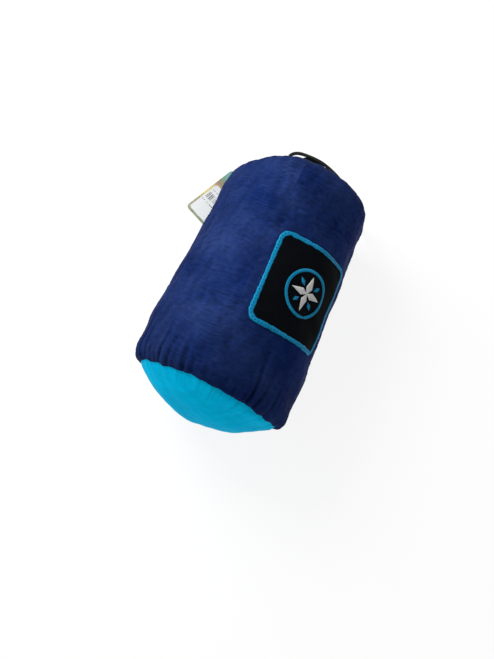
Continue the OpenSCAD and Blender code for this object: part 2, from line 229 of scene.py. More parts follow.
def tube(name, path, radius, sides, material, body="root", round_ends=False):
    """A closed tube along a path. radius is a number or one per point."""
    path = np.asarray(path, float)
    n = len(path)
    radius = np.broadcast_to(np.asarray(radius, float), n)
    tangent = unit(np.gradient(path, axis=0))
    normal = np.zeros_like(path)
    u = np.array([0, 0, 1.0]) if abs(tangent[0, 2]) < 0.9 else np.array([1.0, 0, 0])
    for i in range(n):
        u = u - (u @ tangent[i]) * tangent[i]
        u /= np.linalg.norm(u)
        normal[i] = u
    side = np.cross(tangent, normal)
    run = run_along(path)
    a = np.arange(sides) * 2 * math.pi / sides
    ring = np.cos(a)[None, :, None] * normal[:, None, :] + np.sin(a)[None, :, None] * side[:, None, :]
    verts = (path[:, None, :] + ring * radius[:, None, None]).reshape(-1, 3)
    bulge = 0.5 * radius if round_ends else 0 * radius
    verts = np.vstack([verts, path[0] - tangent[0] * bulge[0], path[-1] + tangent[-1] * bulge[-1]])
    faces = grid_faces(n, sides).tolist()
    faces += fan(n * sides, 0, sides, flip=True) + fan(n * sides + 1, (n - 1) * sides, sides)
    around = a * radius.mean()
    uv = grid_uv(around, run, x_period=2 * math.pi * radius.mean()).reshape(-1, 2).tolist()
    for at, turn in ((0, -1), (run[-1], 1)):
        for edge in zip(around, np.roll(around, -1)):
            uv += [[0, at]] + [[u, at] for u in edge[::turn]]
    return new_piece(name, verts, faces, uv, material, body)


# ---------- materials ----------

class Nodes:
    """Short names for building one material's nodes."""

    def __init__(self, name):
        self.material = bpy.data.materials.new(name)
        self.material.use_nodes = True
        self.tree = self.material.node_tree
        self.shader = self.tree.nodes["Principled BSDF"]

    def node(self, kind, inputs=None, **settings):
        made = self.tree.nodes.new("ShaderNode" + kind)
        for key, value in settings.items():
            setattr(made, key, value)
        for key, value in (inputs or {}).items():
            self.put(made.inputs[key], value)
        return made

    def put(self, socket, value):
        if isinstance(value, bpy.types.NodeSocket):
            self.tree.links.new(value, socket)
        else:
            socket.default_value = value

    def math(self, operation, a, b=0.0, c=0.0):
        return self.node("Math", {0: a, 1: b, 2: c}, operation=operation).outputs[0]

    def mul(self, a, b):
        return self.math("MULTIPLY", a, b)

    def add(self, a, b):
        return self.math("ADD", a, b)

    def take(self, a, b):
        return self.math("SUBTRACT", a, b)

    def wave(self, value, pitch):
        """A sine that repeats once in this many millimetres."""
        return self.math("SINE", self.mul(value, 2 * math.pi / pitch))

    def vector(self, operation, a, b):
        return self.node("VectorMath", {0: a, 1: b}, operation=operation).outputs[0]

    def parts(self, vector):
        return self.node("SeparateXYZ", {0: vector}).outputs

    def cloth_uv(self):
        """The cloth's own coordinates, in millimetres."""
        return self.vector("MULTIPLY", self.node("UVMap", uv_map="cloth").outputs[0], (UV_MM, UV_MM, 1))

    def object_mm(self):
        return self.vector("MULTIPLY", self.node("TexCoord").outputs["Object"], (1 / MM,) * 3)

    def stretch(self, vector, scale, turn=0.0):
        return self.node("Mapping", {"Vector": vector, "Scale": scale, "Rotation": (0, 0, turn)}).outputs[0]

    def noise(self, vector, scale=1.0, detail=3.0, rough=0.5):
        made = self.node("TexNoise", {"Vector": vector, "Scale": scale, "Detail": detail, "Roughness": rough})
        return made.outputs[0]

    def ramp(self, value, low, high, low_to=0.0, high_to=1.0):
        return self.node("MapRange", {0: value, 1: low, 2: high, 3: low_to, 4: high_to}).outputs[0]

    def spread(self, noise, low_to=0.0, high_to=1.0):
        """A noise's usual range mapped to this one."""
        return self.ramp(noise, 0.3, 0.7, low_to, high_to)

    def blend(self, share, a, b):
        made = self.node("Mix", {0: share, 6: a, 7: b}, data_type="RGBA")
        return made.outputs[2]

    def tint(self, tone, attribute):
        """The tone times one of the mesh's colour attributes."""
        painted = self.node("Attribute", attribute_name=attribute).outputs["Color"]
        return self.vector("MULTIPLY", tone, painted)

    def bump(self, height, distance, after=None):
        made = self.node("Bump", {"Height": height, "Distance": distance * MM, "Strength": 1.0})
        if after is not None:
            self.put(made.inputs["Normal"], after)
        return made.outputs[0]

    def finish(self, color, roughness, normal=None, **values):
        self.put(self.shader.inputs["Base Color"], color)
        self.put(self.shader.inputs["Roughness"], roughness)
        if normal is not None:
            self.put(self.shader.inputs["Normal"], normal)
        for key, value in values.items():
            self.shader.inputs[key.replace("_", " ")].default_value = value
        return self.material


def shade(color, factor):
    return tuple(min(1.0, c * factor) for c in color) + (1.0,)


def nylon(name, color, crinkle=1.0, gloss=0.012, fold_shade=None):
    """Thin parachute nylon: a tight weave, fine creases that run round the sack and a faint satin shine.
    color is a dark and a light one, mixed by noise: random tone, and the lighter, whiter one is also a
    painted sheen on the crinkles. The last argument, if given, names a colour attribute of painted shade in
    the valleys and painted highlight on the ridges."""
    m = Nodes(name)
    place = m.cloth_uv()
    bend = m.mul(m.take(m.noise(m.stretch(place, (0.02, 0.02, 1)), detail=2.0), 0.5), 18.0)
    bent = m.vector("ADD", place, m.node("CombineXYZ", {1: bend}).outputs[0])
    blotch = m.noise(m.stretch(place, (0.022, 0.03, 1)))
    streaks = m.noise(m.stretch(bent, (0.022, 0.30, 1)))
    creases = m.ramp(m.math("ABSOLUTE", m.take(streaks, 0.5)), 0.0, 0.07)
    fine = m.noise(m.stretch(bent, (0.11, 0.62, 1)), detail=4.0, rough=0.6)
    patchy = m.ramp(m.noise(m.stretch(place, (0.03, 0.045, 1), 0.6), detail=2.0), 0.35, 0.62, 0.25, 1.0)
    mix = m.add(m.mul(blotch, 0.65), m.mul(fine, 0.35))
    # Random tone and painted sheen: the lighter, whiter colour stands for light caught on the crinkles
    tone = m.blend(m.ramp(mix, 0.36, 0.64), color[0] + (1,), color[1] + (1,))
    # Painted shade in the valleys and painted highlight on the ridges, from the colour attribute
    if fold_shade:
        tone = m.tint(tone, fold_shade)
    shine = m.spread(fine, 0.47, 0.63)
    normal = m.bump(m.mul(creases, patchy), 0.26 * crinkle)
    normal = m.bump(m.mul(fine, patchy), 0.36 * crinkle, normal)
    across, along = m.parts(place)[:2]
    normal = m.bump(m.mul(m.wave(across, WEAVE_PITCH), m.wave(along, WEAVE_PITCH)), 0.02, normal)
    return m.finish(tone, shine, normal, Specular_IOR_Level=gloss, Metallic=0.3,
                    Specular_Tint=(0.3, 0.3, 0.3, 1))


def thread(name, color, stitch=STITCH, holes=None):
    """Rows of shiny embroidery thread, with painted shade between the rows. holes names a colour attribute of
    painted shade that darkens it.
    """
    m = Nodes(name)
    place = m.cloth_uv()
    ridges = m.math("ABSOLUTE", m.wave(m.parts(place)[0], 2 * stitch))
    fuzz = m.noise(m.stretch(place, (2.2, 0.6, 1)))
    shadow = m.mul(m.ramp(ridges, 0.0, 0.7, 0.55, 1.0), m.spread(fuzz, 0.85, 1.1))
    tone = m.blend(shadow, shade(color, 0.35), shade(color, 1.05))
    # Painted shade in the stitch holes, from the colour attribute
    if holes:
        tone = m.tint(tone, holes)
    return m.finish(tone, m.spread(fuzz, 0.4, 0.55), m.bump(ridges, 0.12), Specular_IOR_Level=0.12)


def braid(name, color, pitch, strands=6, radius=CORD_R):
    """Braided cord: crossing strands round the tube."""
    m = Nodes(name)
    parts = m.parts(m.cloth_uv())
    turn = m.mul(parts[0], strands / radius)
    run = m.mul(parts[1], 2 * math.pi / pitch)
    crossing = m.math("MAXIMUM", m.math("SINE", m.add(turn, run)), m.math("SINE", m.take(turn, run)))
    fuzz = m.noise(m.cloth_uv(), 3.0, 4.0)
    # Painted shade where the strands dip and a painted highlight on their crossings, with random fuzz
    tone = m.blend(m.mul(m.ramp(crossing, -0.2, 1.0, 0.25, 1.0), m.spread(fuzz, 0.7, 1.1)),
                   shade(color, 0.3), shade(color, 1.6))
    normal = m.bump(fuzz, 0.05, m.bump(crossing, 0.14))
    return m.finish(tone, m.spread(fuzz, 0.55, 0.75), normal, Specular_IOR_Level=0.3)


def twill(name, color):
    """Matt black twill with fine slanted ribs."""
    m = Nodes(name)
    place = m.cloth_uv()
    across, along = m.parts(place)[:2]
    height = m.add(m.wave(m.add(across, along), 0.75), m.mul(m.wave(m.take(across, along), 0.4), 0.4))
    dust = m.noise(place, 0.25, 4.0, 0.6)
    # Painted shade in the ribs' valleys and a painted highlight on their tops; the dust noise is random tone
    tone = m.blend(m.mul(m.ramp(height, -1.2, 1.2, 0.2, 1.0), m.spread(dust, 0.6, 1.0)),
                   shade(color, 0.5), shade(color, 1.8))
    return m.finish(tone, 0.85, m.bump(height, 0.05), Specular_IOR_Level=0.05)


def moulded_plastic(name, color):
    m = Nodes(name)
    place = m.object_mm()
    grain = m.noise(place, 2.5, 4.0, 0.6)
    smear = m.noise(place, 0.12, 2.0)
    tone = m.blend(m.spread(smear), shade(color, 0.8), shade(color, 1.5))
    return m.finish(tone, m.spread(smear, 0.32, 0.5), m.bump(grain, 0.03))


def steel(name, color, rough=0.22):
    m = Nodes(name)
    place = m.object_mm()
    brushed = m.noise(m.stretch(place, (0.6, 0.6, 8.0)), detail=4.0, rough=0.6)
    stains = m.noise(place, 0.08)
    tone = m.blend(m.ramp(stains, 0.35, 0.7), shade(color, 0.85), shade(color, 1.05))
    return m.finish(tone, m.spread(brushed, rough - 0.05, rough + 0.1), m.bump(brushed, 0.015), Metallic=1.0)


def tag_frame(m):
    """The tag card's own plane: x across and y towards the hole, in millimetres from the card's middle."""
    place = m.vector("SUBTRACT", m.object_mm(), tuple(TAG_MID))
    return m.node("VectorRotate", {"Vector": place, "Axis": (0, 0, 1), "Angle": -TAG_TURN}).outputs[0]


# ---------- materials, made ----------

# Each cloth's dark and light colour; the lighter, whiter one is partly a painted sheen on the crinkles
NAVY = (0.0042, 0.0155, 0.0880), (0.0170, 0.0350, 0.1290)
CYAN = (0.0001, 0.4300, 0.7200), (0.0010, 0.5300, 0.8400)
BORDER = (0.0020, 0.2600, 0.5000)
EMBROIDERY = (0.0040, 0.2500, 0.4700)
BLACK = (0.0020, 0.0026, 0.0042)
WHITE = (0.72, 0.72, 0.71)
STEEL = (0.60, 0.61, 0.63)

card_low, card_high = box_mm("tag_card")
TAG_TURN = math.radians(-24.5)
TAG_MID = (card_low + card_high) / 2
TAG_L = 60

navy_nylon = nylon("navy_nylon", NAVY)
cyan_nylon = nylon("cyan_nylon", CYAN, crinkle=0.4, gloss=0.006)
# These two carry painted shade and highlight in their folds
side_nylon = nylon("navy_nylon_side", NAVY, fold_shade="fold")
bottom_nylon = nylon("cyan_nylon_bottom", CYAN, crinkle=0.4, gloss=0.006, fold_shade="fold")
border_thread = thread("border_thread", BORDER, 0.9, holes="stitch")
blue_thread = thread("blue_thread", EMBROIDERY)
white_thread = thread("white_thread", WHITE)
patch_twill = twill("patch_twill", BLACK)
black_cord = braid("black_cord", (0.006, 0.006, 0.007), 3.2)
black_rope = braid("black_rope", (0.008, 0.008, 0.009), 6.5, 7, 3.0)
string_thread = braid("string_thread", (0.09, 0.09, 0.09), 1.6, 2, STRING_R)
lock_plastic = moulded_plastic("lock_plastic", (0.010, 0.010, 0.011))
bright_steel = steel("bright_steel", STEEL)
spring_steel = steel("spring_steel", (0.45, 0.45, 0.46), 0.3)


def printed_card():
    """Card printed with soft bands of leaf and earth colours along its length."""
    m = Nodes("printed_card")
    place = tag_frame(m)
    leaves = m.noise(place, 0.35, 5.0, 0.65)
    along = m.ramp(m.parts(place)[1], -TAG_L / 2, TAG_L / 2)
    color = m.node("ValToRGB", {0: m.add(along, m.mul(m.take(leaves, 0.5), 0.16))})
    stops = color.color_ramp.elements
    stops[0].position, stops[0].color = 0.0, (0.06, 0.12, 0.02, 1)
    stops[1].position, stops[1].color = 1.0, (0.10, 0.30, 0.24, 1)
    for at, value in ((0.08, (0.12, 0.14, 0.03)), (0.16, (0.17, 0.13, 0.03)), (0.27, (0.20, 0.17, 0.03)),
                      (0.40, (0.50, 0.42, 0.08)), (0.56, (0.42, 0.36, 0.12)), (0.66, (0.19, 0.10, 0.03)),
                      (0.74, (0.12, 0.15, 0.05)), (0.82, (0.08, 0.24, 0.20))):
        stops.new(at).color = value + (1,)
    gloss = m.noise(place, 0.2, 2.0)
    return m.finish(color.outputs[0], m.spread(gloss, 0.25, 0.4), m.bump(leaves, 0.02))


def barred_label():
    """White label with a block of plain bars between two rows of dashes."""
    m = Nodes("barred_label")
    place = tag_frame(m)
    across, along = m.parts(place)[:2]

    def bars(pitch):
        step = m.math("FLOOR", m.math("DIVIDE", across, pitch))
        chance = m.node("TexWhiteNoise", {"W": step}, noise_dimensions="1D").outputs["Value"]
        return m.math("GREATER_THAN", chance, 0.45)

    def inside(value, low, high):
        return m.mul(m.math("GREATER_THAN", value, low), m.math("LESS_THAN", value, high))

    tall = m.mul(inside(along, -9, -2), bars(0.5))
    dashes = m.mul(m.add(inside(along, -12.6, -11.7), inside(along, 1.0, 1.9)), bars(1.1))
    ink = m.mul(inside(across, -20, -3), m.add(tall, dashes))
    paper = m.noise(place, 1.5, 4.0)
    white = m.blend(m.spread(paper), (0.50, 0.52, 0.535, 1), (0.55, 0.57, 0.58, 1))
    return m.finish(m.blend(ink, white, (0.06, 0.06, 0.065, 1)), 0.32, m.bump(paper, 0.01))


def dress(node, material):
    """Gives a CAD node its finished material."""
    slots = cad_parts[node].material_slots
    if not slots:
        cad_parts[node].data.materials.append(material)
    for s in slots:
        s.link = "OBJECT"
        s.material = material


# ---------- camera and light ----------

VIEW_TURN, VIEW_RISE = math.radians(24.5), math.radians(70.8)
VIEW_FROM = 530.0
VIEW_LENS = 34.6
VIEW_SHIFT = (-0.020, -0.067)
FLOOR_HALF = 40.0       # metres, so that the floor's edge lies beyond the camera's reach


def add_camera():
    right = np.array([math.cos(VIEW_TURN), math.sin(VIEW_TURN), 0])
    back = np.array([right[1] * math.cos(VIEW_RISE), -right[0] * math.cos(VIEW_RISE), math.sin(VIEW_RISE)])
    up = np.cross(back, right)
    data = bpy.data.cameras.new("camera")
    data.lens = VIEW_LENS
    data.sensor_width = 36
    data.shift_x, data.shift_y = VIEW_SHIFT
    data.clip_start, data.clip_end = 0.01, 20
    camera = add_object("camera", data)
    place = np.eye(4)
    place[:3, 0], place[:3, 1], place[:3, 2] = right, up, back
    place[:3, 3] = (np.array([0, 0, AXIS_Z]) + VIEW_FROM * back) * MM
    camera.matrix_world = Matrix(place.tolist())
    bpy.context.scene.camera = camera


def add_light(name, place, size, power):
    data = bpy.data.lights.new(name, "AREA")
    data.shape = "DISK"
    data.size = size
    data.energy = power
    light = add_object(name, data)
    light.location = place
    light.rotation_euler = (Vector((0, 0, 0.05)) - Vector(place)).to_track_quat("-Z", "Y").to_euler()


def add_stage():
    mesh = bpy.data.meshes.new("floor")
    corners = [(FLOOR_HALF * x, FLOOR_HALF * y, 0) for x, y in ((-1, -1), (1, -1), (1, 1), (-1, 1))]
    mesh.from_pydata(corners, [], [(0, 1, 2, 3)])
    floor = add_object("floor", mesh)
    floor.location.z = -0.0003
    m = Nodes("floor_white")
    mesh.materials.append(m.finish((0.18, 0.18, 0.18, 1), 0.9, Specular_IOR_Level=0.05,
                                   Emission_Color=(1, 1, 1, 1), Emission_Strength=0.86))
    world = bpy.data.worlds.new("world")
    world.use_nodes = True
    background = world.node_tree.nodes["Background"].inputs
    background[0].default_value, background[1].default_value = (1, 1, 1, 1), 0.36
    bpy.context.scene.world = world
    add_light("key", (-0.40, 0.18, 0.52), 0.4, 4.3)
    add_light("fill", (-0.85, -1.0, 0.20), 0.7, 2.4)
    bpy.context.scene.view_settings.view_transform = "Standard"


# ---------- sack's side panel ----------

def arc(middle_r, middle_y, size_r, size_y, start, end):
    a = np.radians(np.linspace(start, end, 40))
    return np.column_stack([middle_r + size_r * np.cos(a), middle_y + size_y * np.sin(a)])


def side_radius(y):
    """Radius of the sack's side at a distance y from the bottom seam."""
    return SACK_R - TAPER * smooth((y - TAPER_FROM) / (SHOULDER_AT - TAPER_FROM))


def sack_outline():
    """The side panel's path from the turned-in bottom seam to the hem: radius, distance from the seam."""
    tucked = [[SEAM_R - 2.2, 2.2], [SEAM_R - 1.0, 0.5]]
    corner = arc(SEAM_R, CORNER_LEN, SACK_R - SEAM_R, CORNER_LEN, -90, 0)
    y = np.linspace(CORNER_LEN, SHOULDER_AT, 60)[1:-1]
    barrel = np.column_stack([side_radius(y), y])
    shoulder = arc(CROWN_R, SHOULDER_AT, SACK_R - TAPER - CROWN_R, SHOULDER_LEN, 0, 90)
    recess = arc(CROWN_R, SACK_LEN - MOUTH_DEPTH, CROWN_R - MOUTH_R + 1.5, MOUTH_DEPTH, 90, 180)[1:]
    return np.vstack([tucked, corner, barrel, shoulder, recess])


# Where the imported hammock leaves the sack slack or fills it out: angle round it in degrees, distance from
# the seam, how far each reaches both ways, and its height
BULGES = (
    (92, 100, 36, 60, -4.8),
    (92, 165, 32, 26, -3.4),
    (85, 159, 14, 34, -3.0),
    (92, 20, 30, 14, -2.8),
    (10, 60, 30, 34, 0.8),
    (-17, 147, 34, 26, 1.7),
    (-47, 193, 27, 15, -4.4),
    (-67, 122, 27, 26, -2.5),
    (-87, 162, 35, 13, 1.1),
)


def lumps(x, y):
    """Soft bulges where the hammock presses outwards, for x mm round the sack and y mm along it."""
    size = 0.5 * ripple(x, y, 11, 16, 95, 70) + 0.25 * ripple(x, y, 12, 16, 40, 34)
    size = size * smooth(y / 30) * smooth((SACK_LEN - y) / 16)
    for turn, at, wide, tall, height in BULGES:
        off = (x / SACK_R * 180 / math.pi - turn + 180) % 360 - 180
        size = size + height * np.exp(-(off / wide) ** 2 - ((y - at) / tall) ** 2)
    return size * smooth(y / 10)


def seam_wave(x):
    """How far the bottom seam wanders along the sack. It is pulled down on the side of the patch."""
    pulled_at, pulled_wide, pulled_by = 78, 48, 2.8
    stitches = 118
    return (0.55 * ripple(x, 0, 21, 5, 70, 50) + 0.3 * ripple(x, 0, 22, 6, 18, 50)
            + 0.16 * np.sin(x * 2 * math.pi / GIRTH * stitches)
            - pulled_by * np.exp(-(shorter_way(x - pulled_at) / pulled_wide) ** 2))


def seam_gathers(x, s):
    """Creases that run up from the bottom seam, deep ones far apart and small ones close together."""
    draw = np.random.default_rng(31)
    total = np.zeros(np.broadcast(x, s).shape)
    for count, reach, deep, wide in ((64, (14, 58), (0.3, 1.4), (0.8, 1.8)),
                                     (96, (6, 22), (0.12, 0.40), (0.8, 1.1))):
        for i in range(count):
            at = (i + draw.uniform(-0.45, 0.45)) * GIRTH / count
            strength = draw.uniform(0, 1) ** 1.3
            length = reach[0] + (reach[1] - reach[0]) * strength
            depth = deep[0] + (deep[1] - deep[0]) * strength
            width = draw.uniform(*wide)
            slant = draw.uniform(-0.10, 0.10)
            off = shorter_way(x - at - slant * s)
            fade = 1 - smooth(s / length)
            total -= depth * np.exp(-(off / (width * (1 + s / 60))) ** 2) * fade
            total += 0.35 * depth * np.exp(-((np.abs(off) - 2.1 * width) / width) ** 2) * fade
    return total * (0.12 + 0.88 * smooth((s - 2.5) / 6))


PLEATS = 27


def pleat_turn(x):
    """Which pleat lies at x mm round the sack, and where in it, as one rising number."""
    return x / GIRTH * PLEATS + 0.28 * ripple(x, 0, 42, 4, 90, 50)


def mouth_pleats(x, y_left, reach):
    """Pleats that fan out from the mouth. y_left is the cloth's length still to go to the hem."""
    draw = np.random.default_rng(41)
    turn = pleat_turn(x)
    index = np.floor(turn).astype(int) % PLEATS
    start = draw.uniform(38, 74, PLEATS)[index]
    depth = draw.uniform(0.55, 1.25, PLEATS)[index]
    crease = 1 - np.abs(np.sin(math.pi * turn)) ** 0.55
    grow = smooth((start - y_left) / start) ** 1.2
    return -reach * depth * grow * (crease - 0.35)


SIM_COLS, SIM_STEP, SIM_FRAMES = 168, 2.4, 16
SLACK_ALONG, SLACK_ROUND = 1.025, 1.012


def simulate_creases():
    """Blows the side panel up as cloth cut to its flat size and stitched to the smaller seam and mouth.
    The result is how far each point of its grid moves off the plain shape."""
    path, s = resample(sack_outline()[2:], SIM_STEP)
    rows, cols = len(path), SIM_COLS
    angle = np.arange(cols) * 2 * math.pi / cols
    draw = np.random.default_rng(55)
    start = round_axis(angle, path[:, :1] + draw.normal(0, 0.12, (rows, cols)), path[:, 1:])
    loose = smooth((SACK_LEN - path[:, 1]) / 10) * (s < s[-1] * 0.86)
    cut_r = np.where(path[:, 1] < TAPER_FROM, SACK_R, path[:, 0]) * (1 + (SLACK_ROUND - 1) * loose)
    steps = np.diff(s) * (1 + (SLACK_ALONG - 1) * loose[1:])
    cut_y = np.concatenate([[0], np.cumsum(np.sqrt(np.maximum(steps**2 - np.diff(cut_r)**2, 0.1)))])
    rest = round_axis(angle, cut_r[:, None], cut_y[:, None])

    mesh = bpy.data.meshes.new("trial")
    mesh.from_pydata((start.reshape(-1, 3) * MM).tolist(), [], grid_faces(rows, cols).tolist())
    trial = add_object("trial", mesh)
    trial.shape_key_add(name="start")
    cut = trial.shape_key_add(name="cut")
    cut.data.foreach_set("co", (rest * MM).astype(np.float32).ravel())
    cut.value = 0
    pins = trial.vertex_groups.new(name="pins")
    pins.add(list(range(cols)) + list(range((rows - 4) * cols, rows * cols)), 1.0, "REPLACE")
    cloth = trial.modifiers.new("cloth", "CLOTH")
    settings = cloth.settings
    settings.vertex_group_mass = "pins"
    settings.rest_shape_key = cut
    settings.quality = 8
    settings.mass = 0.02
    settings.tension_stiffness = settings.compression_stiffness = 30
    settings.shear_stiffness = 8
    settings.bending_stiffness = 0.02
    settings.use_pressure = True
    settings.uniform_pressure_force = 4
    settings.effector_weights.gravity = 0
    cloth.collision_settings.use_collision = False
    cloth.collision_settings.use_self_collision = False
    cloth.point_cache.frame_start, cloth.point_cache.frame_end = 1, SIM_FRAMES
    scene = bpy.context.scene
    for frame_number in range(1, SIM_FRAMES + 1):
        scene.frame_set(frame_number)
    shown = trial.evaluated_get(bpy.context.evaluated_depsgraph_get())
    ended = np.empty(rows * cols * 3)
    shown.data.vertices.foreach_get("co", ended)
    ended = ended.reshape(rows, cols, 3) / MM
    scene.frame_set(1)
    bpy.data.objects.remove(trial)

    tangent = unit(np.gradient(path, axis=0))
    out_r, out_y = tangent[:, 1:], -tangent[:, :1]
    plain = round_axis(angle, path[:, :1], path[:, 1:])
    out = np.stack([out_r * np.sin(angle), out_y + 0 * angle, out_r * np.cos(angle)], -1)
    off = ((ended - plain) * out).sum(-1)
    swell = off.mean(axis=1, keepdims=True)
    return np.clip(off - swell, -4, 4) * smooth((s[-1] * 0.9 - s) / 20)[:, None]


def sample_creases(x, s):
    """The simulated creases at x mm round the sack and s mm up the cloth."""
    rows, cols = creases_found.shape
    col = (x / GIRTH * cols) % cols
    row = np.clip((s - 4) / SIM_STEP, 0, rows - 1.001)
    col, row = np.broadcast_arrays(col, row)
    c, r = col.astype(int) % cols, row.astype(int)
    u, v = smooth(col - np.floor(col)), smooth(row - r)
    c2 = (c + 1) % cols
    return ((creases_found[r, c] * (1 - u) + creases_found[r, c2] * u) * (1 - v)
            + (creases_found[r + 1, c] * (1 - u) + creases_found[r + 1, c2] * u) * v)


def side_puff(x, s, y, total):
    """How far the side panel stands off its plain shape, for x mm round it and s mm up the cloth."""
    calm = patch_calm(x, y)
    creases = (np.exp(-(ripple(x, s, 51, 40, 38, 11) / 0.4) ** 2)
               + 0.6 * np.exp(-(ripple(x, s, 54, 40, 22, 8) / 0.4) ** 2))
    fine = -0.30 * creases * smooth(0.55 + 0.5 * ripple(x, s, 52, 10, 70, 60)) * smooth((s - 30) / 40)
    soft = 0.16 * ripple(x, s, 53, 24, 16, 45) * smooth(s / 40)
    return (lumps(x, y) + seam_gathers(x, s) + (fine + soft + sample_creases(x, s)) * calm
            + mouth_pleats(x, total - s, 2.3))


def patch_calm(x, y):
    """0 under the patch, where stitching holds the cloth flat, and 1 away from it."""
    dx = np.abs(shorter_way(x - PATCH_TURN * SACK_R)) - PATCH_W / 2
    dy = np.abs(y - PATCH_MID) - PATCH_H / 2
    return smooth(np.maximum(dx, dy) / 6 + 0.3)


def rest_on_floor(points):
    """Presses what would be below the floor up to it, with a soft edge."""
    soft, clear, well_above = 0.5, 0.1, 8
    z = points[..., 2] - clear
    points[..., 2] = clear + soft * np.logaddexp(0, z / soft) * (z < well_above) + z * (z >= well_above)
    return points


def round_axis(angle, radius, y):
    """Points at an angle, a radius and a distance from the bottom seam."""
    return np.stack([radius * np.sin(angle), SEAM_Y + y + 0 * angle, AXIS_Z + radius * np.cos(angle)], -1)


def make_side_panel():
    path, s = resample(sack_outline(), 1.22)
    cols = 350
    x, angle = columns(cols)
    tangent = unit(np.gradient(path, axis=0))
    normal = np.column_stack([tangent[:, 1], -tangent[:, 0]])

    def surface(rows, inset=0.0):
        p, n, run = path[rows], normal[rows], s[rows]
        off = side_puff(x, run[:, None], p[:, 1:2], s[-1]) - inset
        wander = seam_wave(x) * (1 - smooth(run / 30))[:, None]
        radius = p[:, :1] + n[:, :1] * off
        y = p[:, 1:] + n[:, 1:] * off + wander
        return rest_on_floor(round_axis(angle, radius, y))

    rows = np.arange(len(s))
    inner = np.unique(np.round(np.linspace(0, len(s) - 1, 34)).astype(int))[::-1]
    thick = 0.7
    verts = np.vstack([surface(rows), surface(inner, thick)])
    verts[len(rows):, :, 2] += thick / 2
    run = np.concatenate([s, s[inner]])
    faces = grid_faces(len(run), cols, wrap_rows=True)
    uv = grid_uv(x, run, wrap_rows=True, x_period=GIRTH, y_period=0)
    piece = new_piece("sack_side", verts, faces, uv, side_nylon)
    # Painted shade: the cloth is darkened towards the bottom seam, where it is gathered, and in the valleys
    # of its creases, with a painted highlight on their ridges
    seam_shade = 1 - 0.26 * np.clip(1 - s / 60, 0, 1)[:, None]
    shade_folds(piece, side_puff(x, s[:, None], path[:, 1:2], s[-1]), 5, 5, 0.9, seam_shade)
    return piece


# ---------- sack's bottom panel ----------

DISC_PERIOD = 400       # waves on a small flat piece repeat beyond its edge


def make_bottom_panel():
    cols, rings = 300, 60
    ball = (SEAM_R**2 + DOME_H**2) / (2 * DOME_H)
    x, angle = columns(cols)
    q = np.linspace(0.004, 1, rings)
    quarter = math.pi / 2 * 0.98
    r = SEAM_R * np.sin(q * quarter) / math.sin(quarter) * 0.35 + SEAM_R * q * 0.65
    from_edge = SEAM_R - r
    draw = np.random.default_rng(61)
    pucker = np.zeros((rings, cols))
    puckers = 88
    for i in range(puckers):
        at = (i + draw.uniform(-0.4, 0.4)) * GIRTH / puckers
        strength = draw.uniform(0, 1) ** 1.5
        length, depth, width = 4 + 16 * strength, 0.12 + 0.42 * strength, draw.uniform(0.8, 1.7)
        off = shorter_way(x - at)
        pucker -= depth * np.exp(-(off / width) ** 2) * (1 - smooth(from_edge / length))[:, None]
    across, upward = r[:, None] * np.sin(angle), r[:, None] * np.cos(angle)
    soft = (0.28 * ripple(across, upward, 62, 14, 44, 34, DISC_PERIOD)
            + 0.10 * ripple(across, upward, 63, 20, 18, 9, DISC_PERIOD))
    inner = smooth(from_edge / 14)[:, None]
    bulge = 1.08 * (np.sqrt(ball**2 - r**2)[:, None] - (ball - DOME_H))
    y = -bulge + (soft * inner + pucker) * -1 + 0.9 * (1 - smooth(from_edge / 3))[:, None]
    y = y + seam_wave(x) * (1 - smooth(from_edge / 12))[:, None]
    outer = rest_on_floor(round_axis(angle, r[:, None], y))
    back_rows = np.arange(rings)[::-4]
    inner_side = outer[back_rows].copy()
    inner_side[..., 1] += 0.6
    verts = np.vstack([outer.reshape(-1, 3), inner_side.reshape(-1, 3),
                       outer[0].mean(0), inner_side[-1].mean(0)])
    radial = np.concatenate([r, r[back_rows]])[:, None]
    flat = np.stack([radial * np.sin(angle), radial * np.cos(angle)], -1).reshape(-1, 2)
    flat = np.vstack([flat, [0, 0], [0, 0]])
    pole = len(radial) * cols
    faces = grid_faces(len(radial), cols).tolist()
    faces += fan(pole, 0, cols, flip=True) + fan(pole + 1, pole - cols, cols)
    corners = np.concatenate([flat[f] for f in faces])
    piece = new_piece("sack_bottom", verts, faces, corners, bottom_nylon)
    # Painted shade in the valleys of the puckers and ripples, and a painted highlight on their ridges
    shade_folds(piece, soft * inner + pucker, 6, 4, 0.6)
    return piece


def make_seam_binding():
    """A folded tape over the raw edges, inside the bottom seam."""
    low, high = box_mm("bottom_seam_binding")
    outer, wide = (high[0] - low[0]) / 2 - 0.3, high[1] - low[1]
    cols = 240
    x, angle = columns(cols)
    fold = np.linspace(0, 2 * math.pi, 14, endpoint=False)
    thick = 1.7
    wave = 0.25 * ripple(x, 0, 71, 8, 14, 50)
    radius = outer - thick + thick * np.cos(fold)[:, None] + wave
    y = low[1] - SEAM_Y + 0.4 + wide / 2 + (wide / 2 - 0.1) * np.sin(fold)[:, None] + 0 * wave
    verts = rest_on_floor(round_axis(angle, radius, y))
    faces = grid_faces(len(fold), cols, wrap_rows=True)
    uv = grid_uv(x, fold * 3, wrap_rows=True, x_period=GIRTH, y_period=19)
    return new_piece("seam_binding", verts, faces, uv, navy_nylon)


# ---------- mouth ----------

HEM_MID = (hem_low[1] + hem_high[1]) / 2 - SEAM_Y
HEM_R = 11.7
CORD_RING_R = 11.5
CORD_GAP = math.radians(50)


